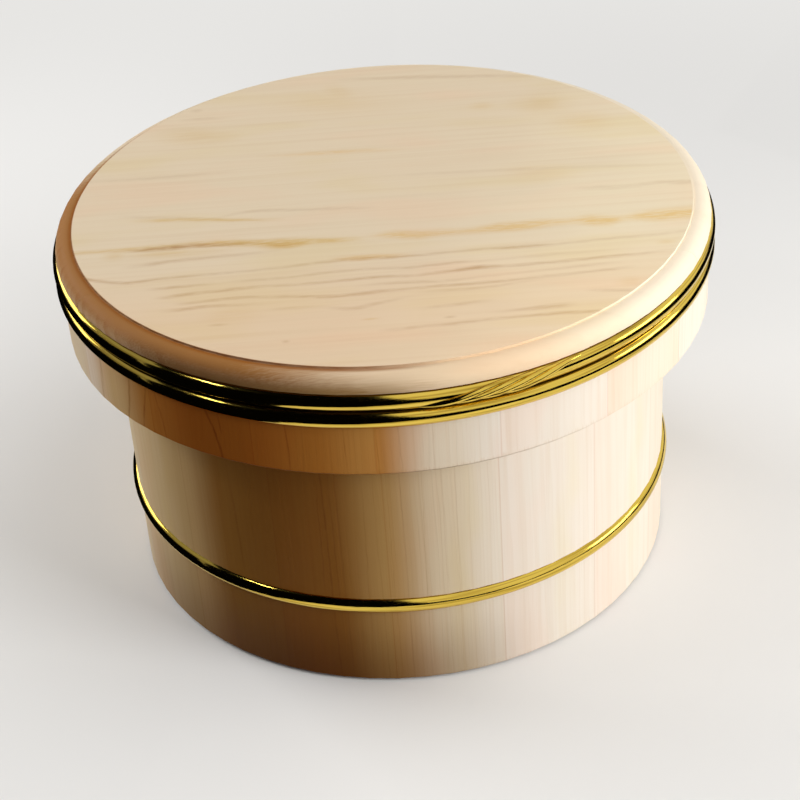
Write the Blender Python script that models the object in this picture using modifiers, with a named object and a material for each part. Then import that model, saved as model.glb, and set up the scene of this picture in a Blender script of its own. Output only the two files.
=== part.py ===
"""A coopered tub for sushi rice, with a cover lid that fits over its rim.

Sizes are in metres, with +Z up. The origin is on the tub's axis, on the surface that it stands on.
The tub is a ring of staves round a tongued bottom, held by two brass hoops. The lid is a board with
a rounded shoulder, seated in a ring of shorter staves that two more hoops hold.
"""
import math

import bpy
import bmesh
from mathutils import Matrix

# Clearances
GAP = 0.0003
LID_CLEARANCE = 0.0015

# Tub
TUB_RADIUS = 0.131
TUB_WALL = 0.013
TUB_HEIGHT = 0.1622
TUB_STAVES = 16
TUB_SEAM_ANGLE = math.radians(-71.3)
FOOT_HEIGHT = 0.012
ARRIS = 0.0015

# Tub bottom
BOTTOM_THICKNESS = 0.012
BOTTOM_PLANKS = 3
TONGUE_THICKNESS = 0.0054
CROZE_DEPTH = 0.004

# Hoops, of round wire bedded in grooves
WIRE_DIAMETER = 0.0084
WIRE_PROUD = 0.0024
LOWER_HOOP_HEIGHT = 0.045
UPPER_HOOP_DROP = 0.0152
LID_HOOP_PITCH = 0.0085

# Lid
LID_WALL = 0.0161
LID_STAVES = 18
LID_SEAM_ANGLE = math.radians(-73.8)
LID_OVERLAP = 0.0307
PLUG_DEPTH = 0.0106
FLANGE_THICKNESS = 0.0081
OVERHANG = 0.0005
SHOULDER_WIDTH = 0.0077
STEP_HEIGHT = 0.001
STEP_WIDTH = 0.0006
LAND_HEIGHT = 0.0006
LID_PLANKS = 4

# Pins between planks
PIN_DIAMETER = 0.005
PIN_LENGTH = 0.028
PIN_SPREAD = 0.12

# Facets
STAVE_STEPS = 4
WIRE_SIDES = 8
HIDDEN_WIRE_SIDES = 6
PIN_SIDES = 10
SHOULDER_STEPS = 5
MERGE = 0.00001
SHARP_ANGLE = math.radians(35)

# Sizes worked out from those above
WIRE_RADIUS = WIRE_DIAMETER / 2
TUB_BORE = TUB_RADIUS - TUB_WALL
TUB_HOOP_RADIUS = TUB_RADIUS + WIRE_PROUD - WIRE_RADIUS
UPPER_HOOP_HEIGHT = TUB_HEIGHT - UPPER_HOOP_DROP
LID_BORE = TUB_RADIUS + WIRE_PROUD + LID_CLEARANCE
LID_RADIUS = LID_BORE + LID_WALL
LID_HOOP_RADIUS = LID_RADIUS + WIRE_PROUD - WIRE_RADIUS
LID_REST = TUB_HEIGHT + GAP
BOARD_RADIUS = LID_RADIUS + OVERHANG
BOARD_TOP = PLUG_DEPTH + FLANGE_THICKNESS
BOARD_MIDDLE = BOARD_TOP / 2
RING_TOP = PLUG_DEPTH - GAP
LID_HOOP_HEIGHTS = (RING_TOP - WIRE_RADIUS, RING_TOP - WIRE_RADIUS - LID_HOOP_PITCH)


def clear_scene():
    for old in list(bpy.data.objects):
        bpy.data.objects.remove(old, do_unlink=True)


def new_collection(name):
    collection = bpy.data.collections.new(name)
    bpy.context.scene.collection.children.link(collection)
    return collection


def material(name, colour, roughness, metallic=0.0):
    made = bpy.data.materials.new(name)
    made.use_nodes = True
    shader = made.node_tree.nodes["Principled BSDF"]
    shader.inputs["Base Color"].default_value = (*colour, 1.0)
    shader.inputs["Roughness"].default_value = roughness
    shader.inputs["Metallic"].default_value = metallic
    return made


def add_object(name, data, collection, parent=None, finish=None):
    made = bpy.data.objects.new(name, data)
    collection.objects.link(made)
    made.parent = parent
    if finish:
        made.data.materials.clear()
        made.data.materials.append(finish)
    return made


# Profiles, each a list of (radius, height) points that runs down the outer side

def arc(radius, height, reach, start, end, steps, rise=None):
    """Points on an arc about (radius, height), from one angle to another in degrees.

    It is round, or oval where a rise is given that differs from its reach.
    """
    rise = rise or reach
    points = []
    for step in range(steps + 1):
        angle = math.radians(start + (end - start) * step / steps)
        points.append((radius + reach * math.cos(angle), height + rise * math.sin(angle)))
    return points


def inside_part(start, end, reach, low, high):
    """The part of a straight line that lies within a radius and between two heights."""
    limits = ((0, reach, 1), (1, high, 1), (1, low, -1))
    first, last = 0.0, 1.0
    for axis, limit, sign in limits:
        before = sign * (start[axis] - limit)
        after = sign * (end[axis] - limit)
        if before > 0 and after > 0:
            return []
        if before > 0:
            first = max(first, before / (before - after))
        if after > 0:
            last = min(last, before / (before - after))
    if first >= last:
        return []
    return [tuple(a + (b - a) * share for a, b in zip(start, end)) for share in (first, last)]


def seat(centre, height, sides, upper, lower):
    """A hoop's bed in the wood: the wire's own outline, wider by the gap.

    The bed is cut off at a (radius, height) above the wire's centre and at another below it.
    """
    size = WIRE_RADIUS + GAP / math.cos(math.pi / sides)
    outline = arc(centre, height, size, 0, 360, sides)
    points = []
    for start, end in zip(outline, outline[1:]):
        above = start[1] + end[1] > 2 * height
        reach = upper[0] if above else lower[0]
        for point in inside_part(start, end, reach, lower[1], upper[1]):
            if not points or math.dist(points[-1], point) > MERGE:
                points.append(point)
    return points


def tub_stave_profile():
    outer_rim = arc(TUB_RADIUS - ARRIS, TUB_HEIGHT - ARRIS, ARRIS, 90, 0, 2)
    foot = [(TUB_RADIUS, ARRIS), (TUB_RADIUS - ARRIS, 0.0), (TUB_BORE + ARRIS, 0.0), (TUB_BORE, ARRIS)]
    croze_low = FOOT_HEIGHT + (BOTTOM_THICKNESS - TONGUE_THICKNESS) / 2 - GAP
    croze_high = croze_low + TONGUE_THICKNESS + 2 * GAP
    croze = [
        (TUB_BORE, croze_low),
        (TUB_BORE + CROZE_DEPTH, croze_low),
        (TUB_BORE + CROZE_DEPTH, croze_high),
        (TUB_BORE, croze_high),
    ]
    inner_rim = arc(TUB_BORE + ARRIS, TUB_HEIGHT - ARRIS, ARRIS, 180, 90, 2)
    upper_seat = seat(TUB_HOOP_RADIUS, UPPER_HOOP_HEIGHT, HIDDEN_WIRE_SIDES,
                      (TUB_RADIUS, TUB_HEIGHT), (TUB_RADIUS, 0.0))
    lower_seat = seat(TUB_HOOP_RADIUS, LOWER_HOOP_HEIGHT, WIRE_SIDES,
                      (TUB_RADIUS, TUB_HEIGHT), (TUB_RADIUS, 0.0))
    return outer_rim + upper_seat + lower_seat + foot + croze + inner_rim


def lid_stave_profile():
    first, second = LID_HOOP_HEIGHTS
    between = (first + second) / 2
    lower_end = -LID_OVERLAP
    first_seat = seat(LID_HOOP_RADIUS, first, WIRE_SIDES,
                      (LID_HOOP_RADIUS, RING_TOP), (LID_HOOP_RADIUS, between))
    second_seat = seat(LID_HOOP_RADIUS, second, WIRE_SIDES,
                       (LID_HOOP_RADIUS, between), (LID_RADIUS, lower_end))
    edge = [
        (LID_RADIUS, lower_end + ARRIS),
        (LID_RADIUS - ARRIS, lower_end),
        (LID_BORE + ARRIS, lower_end),
        (LID_BORE, lower_end + ARRIS),
    ]
    return first_seat + second_seat[1:] + edge + [(LID_BORE, RING_TOP)]


def lid_board_profile():
    ledge = BOARD_RADIUS - SHOULDER_WIDTH
    flat_edge = ledge - STEP_WIDTH
    land_top = PLUG_DEPTH + LAND_HEIGHT
    drop = BOARD_TOP - STEP_HEIGHT - land_top
    step = [(flat_edge, BOARD_TOP), (flat_edge, BOARD_TOP - STEP_HEIGHT)]
    shoulder = arc(ledge, land_top, SHOULDER_WIDTH, 90, 0, SHOULDER_STEPS, drop)
    under = [(BOARD_RADIUS, PLUG_DEPTH), (LID_BORE - GAP, PLUG_DEPTH), (LID_BORE - GAP, 0.0)]
    return step + shoulder + under


def bottom_profile():
    top = FOOT_HEIGHT + BOTTOM_THICKNESS
    tongue_low = FOOT_HEIGHT + (BOTTOM_THICKNESS - TONGUE_THICKNESS) / 2
    tongue_high = tongue_low + TONGUE_THICKNESS
    inner = TUB_BORE - GAP
    outer = inner + CROZE_DEPTH
    return [
        (inner, top),
        (inner, tongue_high),
        (outer, tongue_high),
        (outer, tongue_low),
        (inner, tongue_low),
        (inner, FOOT_HEIGHT),
    ]


# Solids

def turned(name, profile, sweep, steps, start_angle=0.0):
    """Turn a profile about Z with a Screw modifier, and fill what is left open with flat faces.

    A profile that is swept part of a turn is a closed outline. One that is swept all the way round
    is open at the axis, where a flat face closes it at each end.
    """
    full_turn = math.isclose(sweep, 2 * math.pi)
    outline = bpy.data.meshes.new(name + "_profile")
    edges = [(index, index + 1) for index in range(len(profile) - 1)]
    if not full_turn:
        edges.append((len(profile) - 1, 0))
    outline.from_pydata([(radius, 0.0, height) for radius, height in profile], edges, [])
    turner = bpy.data.objects.new(name + "_profile", outline)
    bpy.context.scene.collection.objects.link(turner)
    screw = turner.modifiers.new("Turn", "SCREW")
    screw.angle = sweep
    screw.steps = steps
    screw.render_steps = steps
    screw.use_merge_vertices = full_turn
    screw.merge_threshold = MERGE
    graph = bpy.context.evaluated_depsgraph_get()
    mesh = bpy.data.meshes.new_from_object(turner.evaluated_get(graph))
    bpy.data.objects.remove(turner, do_unlink=True)
    bpy.data.meshes.remove(outline)
    mesh.name = name
    solid = bmesh.new()
    solid.from_mesh(mesh)
    bmesh.ops.holes_fill(solid, edges=solid.edges)
    bmesh.ops.recalc_face_normals(solid, faces=solid.faces)
    solid.to_mesh(mesh)
    solid.free()
    mesh.transform(Matrix.Rotation(start_angle, 4, "Z"))
    return shade_round(mesh)


def shade_round(mesh):
    mesh.shade_smooth()
    mesh.set_sharp_from_angle(angle=SHARP_ANGLE)
    return mesh


def box(name, size, centre, collection, parent):
    mesh = bpy.data.meshes.new(name)
    block = bmesh.new()
    bmesh.ops.create_cube(block, size=1.0, matrix=Matrix.Diagonal((*size, 1.0)))
    block.to_mesh(mesh)
    block.free()
    made = add_object(name, mesh, collection, parent)
    made.location = centre
    return hide_cutter(made)


def pin_mesh(name, diameter, length):
    """A round pin that lies along Y."""
    mesh = bpy.data.meshes.new(name)
    pin = bmesh.new()
    bmesh.ops.create_cone(
        pin, cap_ends=True, segments=PIN_SIDES, radius1=diameter / 2, radius2=diameter / 2,
        depth=length, matrix=Matrix.Rotation(math.pi / 2, 4, "X"))
    pin.to_mesh(mesh)
    pin.free()
    return shade_round(mesh)


def hide_cutter(made):
    made.hide_render = True
    made.display_type = "WIRE"
    return made


def boolean(made, operation, cutter):
    cut = made.modifiers.new(cutter.name, "BOOLEAN")
    cut.operation = operation
    cut.solver = "EXACT"
    cut.object = cutter


# Groups of pieces

def stave_ring(name, profile, count, seam_angle, parts, parent, finish):
    """Staves side by side round the axis, each with half a gap at either joint."""
    outer = max(radius for radius, height in profile)
    joint = GAP / outer
    sweep = 2 * math.pi / count - joint
    mesh = turned(name, profile, sweep, STAVE_STEPS)
    for index in range(count):
        stave = add_object(f"{name}_{index + 1:02d}", mesh, parts, parent, finish)
        stave.rotation_euler.z = seam_angle + joint / 2 + 2 * math.pi * index / count


def hoop(name, radius, height, count, seam_angle, parts, parent, finish, sides=WIRE_SIDES):
    """A closed ring of round wire, whose facets match those of the staves that it binds."""
    bpy.ops.mesh.primitive_torus_add(
        major_segments=count * STAVE_STEPS, minor_segments=sides,
        major_radius=radius, minor_radius=WIRE_RADIUS)
    torus = bpy.context.object
    ring = shade_round(torus.data)
    bpy.data.objects.remove(torus, do_unlink=True)
    made = add_object(name, ring, parts, parent, finish)
    made.location.z = height
    made.rotation_euler.z = seam_angle


def planks(name, profile, radius, staves, seam_angle, count, height, parts, cutters, parent, finishes):
    """A round board of planks that lie along X, with pins across each joint."""
    wood, pin_finish = finishes
    board = turned(name, profile, 2 * math.pi, staves * STAVE_STEPS, seam_angle)
    pin = pin_mesh(name + "_pin", PIN_DIAMETER, PIN_LENGTH)
    hole = pin_mesh(name + "_hole", PIN_DIAMETER + 2 * GAP, PIN_LENGTH + 2 * GAP)
    width = 2 * radius / count
    depth = 2 * (max(level for reach, level in profile) + width)
    holes = {}
    for joint in range(1, count):
        for side in (-1, 1):
            place = (side * PIN_SPREAD / 2, joint * width - radius, height)
            number = 2 * joint - 1 if side < 0 else 2 * joint
            made = add_object(f"{name}_pin_{number}", pin, parts, parent, pin_finish)
            made.location = place
            cutter = hide_cutter(add_object(f"{name}_hole_{number}", hole, cutters, parent))
            cutter.location = place
            holes.setdefault(joint, []).append(cutter)
    for index in range(count):
        low = index * width - radius + (GAP / 2 if index > 0 else -width)
        high = (index + 1) * width - radius - (GAP / 2 if index < count - 1 else -width)
        slab = box(f"{name}_slab_{index + 1}", (3 * radius, high - low, depth),
                   (0.0, (low + high) / 2, height), cutters, parent)
        plank = add_object(f"{name}_plank_{index + 1}", board, parts, parent, wood)
        boolean(plank, "INTERSECT", slab)
        for joint in (index, index + 1):
            for cutter in holes.get(joint, []):
                boolean(plank, "DIFFERENCE", cutter)


def build_tub(parts, cutters, wood, pin_finish, brass):
    tub = add_object("tub", None, parts)
    stave_ring("tub_stave", tub_stave_profile(), TUB_STAVES, TUB_SEAM_ANGLE, parts, tub, wood)
    planks("tub_bottom", bottom_profile(), TUB_BORE, TUB_STAVES, TUB_SEAM_ANGLE, BOTTOM_PLANKS,
           FOOT_HEIGHT + BOTTOM_THICKNESS / 2, parts, cutters, tub, (wood, pin_finish))
    for name, height, sides in (("tub_hoop_lower", LOWER_HOOP_HEIGHT, WIRE_SIDES),
                                ("tub_hoop_upper", UPPER_HOOP_HEIGHT, HIDDEN_WIRE_SIDES)):
        hoop(name, TUB_HOOP_RADIUS, height, TUB_STAVES, TUB_SEAM_ANGLE, parts, tub, brass, sides)


def build_lid(parts, cutters, wood, pin_finish, brass):
    lid = add_object("lid", None, parts)
    lid.location.z = LID_REST
    stave_ring("lid_stave", lid_stave_profile(), LID_STAVES, LID_SEAM_ANGLE, parts, lid, wood)
    planks("lid_board", lid_board_profile(), LID_BORE, LID_STAVES, LID_SEAM_ANGLE, LID_PLANKS,
           BOARD_MIDDLE, parts, cutters, lid, (wood, pin_finish))
    for name, height in zip(("lid_hoop_upper", "lid_hoop_lower"), LID_HOOP_HEIGHTS):
        hoop(name, LID_HOOP_RADIUS, height, LID_STAVES, LID_SEAM_ANGLE, parts, lid, brass)


def main():
    clear_scene()
    parts = new_collection("sushi_rice_tub")
    cutters = new_collection("cutters")
    tub_wood = material("tub_wood", (0.78, 0.58, 0.37), 0.6)
    lid_wood = material("lid_wood", (0.83, 0.68, 0.48), 0.55)
    bamboo = material("bamboo_pin", (0.70, 0.56, 0.32), 0.6)
    brass = material("hoop_brass", (0.80, 0.58, 0.22), 0.2, 1.0)
    build_tub(parts, cutters, tub_wood, bamboo, brass)
    build_lid(parts, cutters, lid_wood, bamboo, brass)


main()
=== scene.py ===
"""Dresses a coopered rice tub and its cover lid in their wood and brass, and sets up their stage.

Lengths are in metres, and in millimetres where a name or a comment says so. Directions round the
tub are angles from +X about its axis. The tub stands on the origin, and its front faces -Y.
"""
import math
import random
from collections import namedtuple

import bmesh
import bpy
from bpy.props import FloatProperty, FloatVectorProperty, IntProperty, PointerProperty
from bpy.types import Operator, Panel, PropertyGroup
from mathutils import Matrix, Vector


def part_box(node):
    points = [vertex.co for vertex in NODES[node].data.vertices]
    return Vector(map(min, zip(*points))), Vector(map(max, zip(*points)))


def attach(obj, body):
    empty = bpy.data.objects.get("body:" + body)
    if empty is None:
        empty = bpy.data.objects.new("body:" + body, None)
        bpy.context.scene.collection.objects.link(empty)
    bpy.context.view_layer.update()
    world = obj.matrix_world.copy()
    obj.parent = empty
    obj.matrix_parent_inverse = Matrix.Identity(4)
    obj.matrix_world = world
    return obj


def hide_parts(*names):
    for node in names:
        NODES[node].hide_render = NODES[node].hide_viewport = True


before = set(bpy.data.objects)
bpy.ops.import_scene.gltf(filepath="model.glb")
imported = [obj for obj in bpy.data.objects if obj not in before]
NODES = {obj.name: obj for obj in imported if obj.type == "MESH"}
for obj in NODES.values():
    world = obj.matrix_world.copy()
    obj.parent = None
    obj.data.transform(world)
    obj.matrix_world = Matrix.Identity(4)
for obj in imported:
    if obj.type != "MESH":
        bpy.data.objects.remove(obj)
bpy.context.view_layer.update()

bl_info = {
    "name": "Rice Tub Dresser",
    "version": (1, 0, 0),
    "blender": (4, 5, 0),
    "location": "View3D > Sidebar > Rice Tub",
    "description": "Finishes the wood and the brass hoops of a coopered rice tub with a lid",
    "category": "Object",
}

MM = 0.001

# Corners closer than this are one corner
MERGE = 0.00001

SHARP_ANGLE = math.radians(35)


# Measures of the frame

def names_of(prefix):
    return sorted(name for name in NODES if name.startswith(prefix))


def corners(name):
    return [vertex.co for vertex in NODES[name].data.vertices]


def reach(name):
    """The greatest distance of a node's corners from the axis."""
    return max(math.hypot(corner.x, corner.y) for corner in corners(name))


def middle_angle(name):
    """The direction in which a stave lies."""
    total = sum((corner.xy.normalized() for corner in corners(name)), Vector((0.0, 0.0)))
    return math.atan2(total.y, total.x)


def half_sweep(name):
    """Half of the angle that a stave takes up round the axis."""
    middle = Vector((math.cos(middle_angle(name)), math.sin(middle_angle(name))))
    return max(corner.xy.angle(middle) for corner in corners(name))


TUB_STAVES = names_of("tub_stave_")
LID_STAVES = names_of("lid_stave_")
BOTTOM_PLANKS = names_of("tub_bottom_plank_")
LID_PLANKS = names_of("lid_board_plank_")
PINS = names_of("tub_bottom_pin_") + names_of("lid_board_pin_")
HOOPS = ("tub_hoop_lower", "tub_hoop_upper", "lid_hoop_upper", "lid_hoop_lower")

TUB_RADIUS = reach(TUB_STAVES[0])
LID_RADIUS = reach(LID_STAVES[0])
LID_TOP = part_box(LID_PLANKS[0])[1].z
FLAT_RADIUS = max(
    math.hypot(corner.x, corner.y)
    for name in LID_PLANKS for corner in corners(name) if corner.z > LID_TOP - MERGE)


# Sizes and colours that a user may change

def colour_property(name, description, default):
    return FloatVectorProperty(
        name=name, description=description, subtype="COLOR", size=3, min=0.0, max=1.0,
        default=default)


def length_property(name, description, default):
    return FloatProperty(name=name, description=description, unit="LENGTH", default=default, min=0.0)


def share_property(name, description, default):
    return FloatProperty(
        name=name, description=description, subtype="FACTOR", default=default, min=0.0, max=1.0)


def angle_property(name, description, degrees):
    return FloatProperty(
        name=name, description=description, subtype="ANGLE", default=math.radians(degrees))


class WoodSettings(PropertyGroup):
    sapwood: colour_property(
        "Sapwood", "Colour of the palest staves", (0.87, 0.775, 0.66))
    # The darkest staves' colours, which the wall tone tables lay on the front-left partly as painted shade
    heartwood: colour_property(
        "Heartwood", "Colour of the tub's darkest staves", (0.30, 0.115, 0.016))
    lid_heartwood: colour_property(
        "Lid heartwood", "Colour of the lid's darkest staves", (0.37, 0.094, 0.0065))
    lid_board: colour_property(
        "Lid board", "Colour of the lid's flat top", (0.75, 0.615, 0.44))
    # The lid's palest end lies toward the lamps, and is partly paler wood and partly painted light
    lid_pale_and_lit: colour_property(
        "Pale end", "Colour of the lid's flat top at its palest end", (0.84, 0.71, 0.50))
    umber: colour_property(
        "Umber", "Tint that the darkest grain lines lay over the wood", (0.65, 0.505, 0.365))
    ochre: colour_property(
        "Ochre", "Tint that the yellow streaks lay over the wood", (0.85, 0.69, 0.36))
    amber: colour_property(
        "Amber", "Tint that the orange streaks lay over the wood", (0.93, 0.77, 0.48))
    # The shoulder's brown on its front-left side, partly a stain and partly painted shade
    shoulder_stain_and_shade: colour_property(
        "Handled edge", "Colour of the lid's shoulder where it is browned", (0.355, 0.158, 0.045))
    # How far up the tub's foot the painted shade on its front-left side reaches
    foot_shade_height: length_property(
        "Damp height", "How far up the foot is darkened by damp", 0.05)


class BrassSettings(PropertyGroup):
    brass: colour_property(
        "Brass", "Colour of the polished wire", (0.87, 0.62, 0.105))
    shade: colour_property(
        "Drawn lines", "Colour of the lines that the drawing die leaves", (0.42, 0.25, 0.02))
    # Also the colour of the painted shade and painted dark reflection beside the wood
    tarnish: colour_property(
        "Tarnish", "Colour of the tarnish beside the wood", (0.045, 0.028, 0.012))
    roughness: share_property(
        "Roughness", "Roughness of the polished wire", 0.09)
    strands: IntProperty(
        name="Lap strands", description="Strands that climb over the lid's upper hoop at its lap",
        default=4, min=0)
    strand_radius: length_property(
        "Strand radius", "Radius of a lap strand at its middle", 0.0014)


class StageSettings(PropertyGroup):
    floor: colour_property(
        "Floor", "Colour of the floor", (0.80, 0.79, 0.77))
    floor_bounce: colour_property(
        "Floor bounce", "Colour that the floor throws back on the tub", (0.16, 0.15, 0.14))
    black_card: colour_property(
        "Black card", "Colour of the darkest card that the brass mirrors", (0.001, 0.001, 0.001))
    dim_card: colour_property(
        "Dim card", "Colour of the dim card at the left that the brass mirrors", (0.27, 0.27, 0.30))
    shadow_reach: length_property(
        "Shadow reach", "Distance from the axis to which only the lamps light the floor", 0.30)
    floor_radius: length_property(
        "Floor radius", "Radius of the floor", 6.0)
    key_power: FloatProperty(
        name="Key power", description="Power of the main light", unit="POWER", default=13.2, min=0.0)
    sky: share_property(
        "Sky", "Strength of the even light from all round", 0.28)
    lens: FloatProperty(
        name="Lens", description="Focal length in millimetres, on a sensor 36 mm wide",
        unit="CAMERA", default=87.2, min=1.0)
    camera_distance: length_property(
        "Camera distance", "From the axis at shoulder height to the camera", 0.9063)
    camera_rise: angle_property(
        "Camera rise", "Angle of that line above the level", 28.755)
    shoulder_height: length_property(
        "Shoulder height", "Height on the axis that the camera is placed from", 0.172)
    camera_dip: angle_property(
        "Camera dip", "How far the camera looks down", 34.274)
    camera_turn: angle_property(
        "Camera turn", "How far the camera turns to its right", 0.144)
    camera_roll: angle_property(
        "Camera roll", "How far the camera leans to its right", 4.144)


# Nodes, and shader maths as Python expressions

class Value:
    """One socket of a tree. Sums on a finish's sockets add Math nodes."""

    def __init__(self, finish, socket):
        self.finish = finish
        self.socket = socket

    def __add__(self, other):
        return self.finish.math("ADD", self, other)

    def __sub__(self, other):
        return self.finish.math("SUBTRACT", self, other)

    def __rsub__(self, other):
        return self.finish.math("SUBTRACT", other, self)

    def __mul__(self, other):
        return self.finish.math("MULTIPLY", self, other)

    def __truediv__(self, other):
        return self.finish.math("DIVIDE", self, other)

    def __rtruediv__(self, other):
        return self.finish.math("DIVIDE", other, self)

    def __pow__(self, other):
        return self.finish.math("POWER", self, other)

    def __rpow__(self, other):
        return self.finish.math("POWER", other, self)

    def __abs__(self):
        return self.finish.math("ABSOLUTE", self)

    __radd__ = __add__
    __rmul__ = __mul__


class Nodes:
    """The nodes of one tree."""

    def __init__(self, tree):
        self.tree = tree

    def node(self, kind, settings=None, inputs=None, output=0):
        """Adds a node, with its settings first and then its inputs, which are values or links.

        It returns one output, or the list of all where output is None.
        """
        made = self.tree.nodes.new(kind)
        for name, setting in (settings or {}).items():
            if name == "stops":
                set_stops(made.color_ramp, setting)
            else:
                setattr(made, name, setting)
        for name, value in (inputs or {}).items():
            if isinstance(value, Value):
                self.tree.links.new(value.socket, made.inputs[name])
            else:
                made.inputs[name].default_value = value
        if output is None:
            return [Value(self, socket) for socket in made.outputs]
        return Value(self, made.outputs[output]) if made.outputs else None


class Finish(Nodes):
    """The nodes of a material or a world."""

    def __init__(self, owner):
        owner.use_nodes = True
        super().__init__(owner.node_tree)
        self.owner = owner
        self.tree.nodes.clear()

    def math(self, operation, *values):
        return self.node("ShaderNodeMath", {"operation": operation}, dict(enumerate(values)))

    def vector(self, operation, *values, output=0):
        return self.node(
            "ShaderNodeVectorMath", {"operation": operation}, dict(enumerate(values)), output)

    def smooth(self, value, low, high, top=1.0):
        """Rises smoothly from 0 at low to top at high. It falls where high is below low."""
        return self.node(
            "ShaderNodeMapRange", {"interpolation_type": "SMOOTHSTEP"},
            {"Value": value, "From Min": low, "From Max": high, "To Max": top})

    def largest(self, values):
        found = values[0]
        for value in values[1:]:
            found = self.math("MAXIMUM", found, value)
        return found

    def mix(self, factor, first, second, blend="MIX"):
        """A colour between two others, or the first blended with the second."""
        return self.node(
            "ShaderNodeMix", {"data_type": "RGBA", "blend_type": blend},
            {0: factor, 6: rgba(first), 7: rgba(second)}, output=2)

    def point(self):
        """The place on the piece in millimetres, in the row frame at rest."""
        place = self.node("ShaderNodeTexCoord", output=3)
        return self.vector("DIVIDE", place, (MM, MM, MM))

    def split(self, point):
        return self.node("ShaderNodeSeparateXYZ", inputs={0: point}, output=None)

    def join(self, x, y, z=0.0):
        return self.node("ShaderNodeCombineXYZ", inputs={0: x, 1: y, 2: z})

    def turned(self, point, angle):
        """A point turned about Z."""
        return self.node("ShaderNodeMapping", inputs={"Vector": point, "Rotation": (0.0, 0.0, angle)})

    def noise(self, point, size, detail=2.0):
        """Noise from 0 to 1 whose features are about size across, along each axis."""
        scaled = self.vector("DIVIDE", point, size)
        return self.node(
            "ShaderNodeTexNoise", inputs={"Vector": scaled, "Scale": 1.0, "Detail": detail})

    def random_of(self, value):
        return self.node("ShaderNodeTexWhiteNoise", {"noise_dimensions": "1D"}, {"W": value})

    def toward(self, x, y, direction):
        """How squarely a place lies in a direction from the axis, from -1 to 1."""
        return (x * math.cos(direction) + y * math.sin(direction)) / (x * x + y * y) ** 0.5

    def facing(self, direction):
        """How squarely the surface faces a direction or its opposite, from 0 to 1."""
        normal = self.node("ShaderNodeTexCoord", output=1)
        return abs(self.vector("DOT_PRODUCT", normal, direction, output=1))

    def surface(self, colour, roughness, normal, **constants):
        inputs = {"Base Color": colour, "Roughness": roughness, "Normal": normal}
        inputs.update(constants)
        shader = self.node("ShaderNodeBsdfPrincipled", inputs=inputs)
        self.node("ShaderNodeOutputMaterial", inputs={"Surface": shader})
        return self.owner


def rgba(colour):
    """A colour that a socket takes, or the link that it already is."""
    return colour if isinstance(colour, Value) else (*colour[:3], 1.0)


def set_stops(ramp, stops):
    """Gives a colour ramp its stops, each a place from 0 to 1 and a colour, on a smooth curve."""
    ramp.interpolation = "CARDINAL"
    ramp.elements.remove(ramp.elements[1])
    ramp.elements[0].position = stops[0][0]
    for place, colour in stops[1:]:
        ramp.elements.new(place)
    for stop, (place, colour) in zip(ramp.elements, stops):
        stop.color = (*colour, 1.0)


def new_finish(name):
    return Finish(bpy.data.materials.new(name))


def between(first, second, share):
    return tuple(a + (b - a) * share for a, b in zip(first, second))


# Wood

# Where a board grew: the place of the log's pith beside it and behind its face, the width of the
# rings, how far they drift in a millimetre along the grain, and how strongly the markings show.
# Lengths are in mm.
Cut = namedtuple("Cut", "pith_beside pith_behind ring_width drift figure")

# A lens-shaped patch in the grain, from one point to another, in mm
Patch = namedtuple("Patch", "start end half_width strength")

RING_TINT = (0.86, 0.75, 0.62)
BAND_TINT = (0.93, 0.88, 0.82)
PINK_TINT = (1.02, 0.965, 0.95)
STRAW_TINT = (0.985, 0.975, 0.89)
FIBRE_TINT = (0.84, 0.75, 0.66)
END_GRAIN_TINT = (0.86, 0.76, 0.64)
SEAM_TINT = (0.80, 0.62, 0.52)
# Painted shade at the tub's foot on its front-left side
FOOT_SHADE_TINT = (0.50, 0.43, 0.37)
EDGE_TINT = (0.84, 0.74, 0.64)

# Grain lines are drawn within this distance of the frame's middle, and are no wider than this, in mm
LINE_REACH = 200.0
WIDEST_LINE = 10.0

# How far growth rings and grain lines waver, in mm
RING_WAVER = 4.0
LINE_WAVER = 1.1

# The sizes of the wood's noises: along the grain, across it and into the board, in mm
RING_WAVER_SIZE = (80.0, 12.0, 12.0)
LINE_WAVER_SIZE = (9.0, 6.0, 6.0)
FIBRE_SIZE = (38.0, 0.6, 0.6)
FIBRE_BREAK_SIZE = (24.0, 5.0, 5.0)
CLOUD_SIZE = (120.0, 36.0, 36.0)
BAND_SIZE = (170.0, 4.0, 4.0)
PATCH_BREAK_SIZE = (18.0, 2.4, 2.4)
LINE_BREAK_SIZE = (7.0, 1.2, 1.2)

# How squarely a face looks along the grain where end grain starts to show, and where it is full
END_FACING = (0.75, 0.98)
LID_END_FACING = (0.35, 0.85)

GRAIN_DEPTH = 0.0003
BARE_WOOD_GLOSS = 0.12


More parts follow.
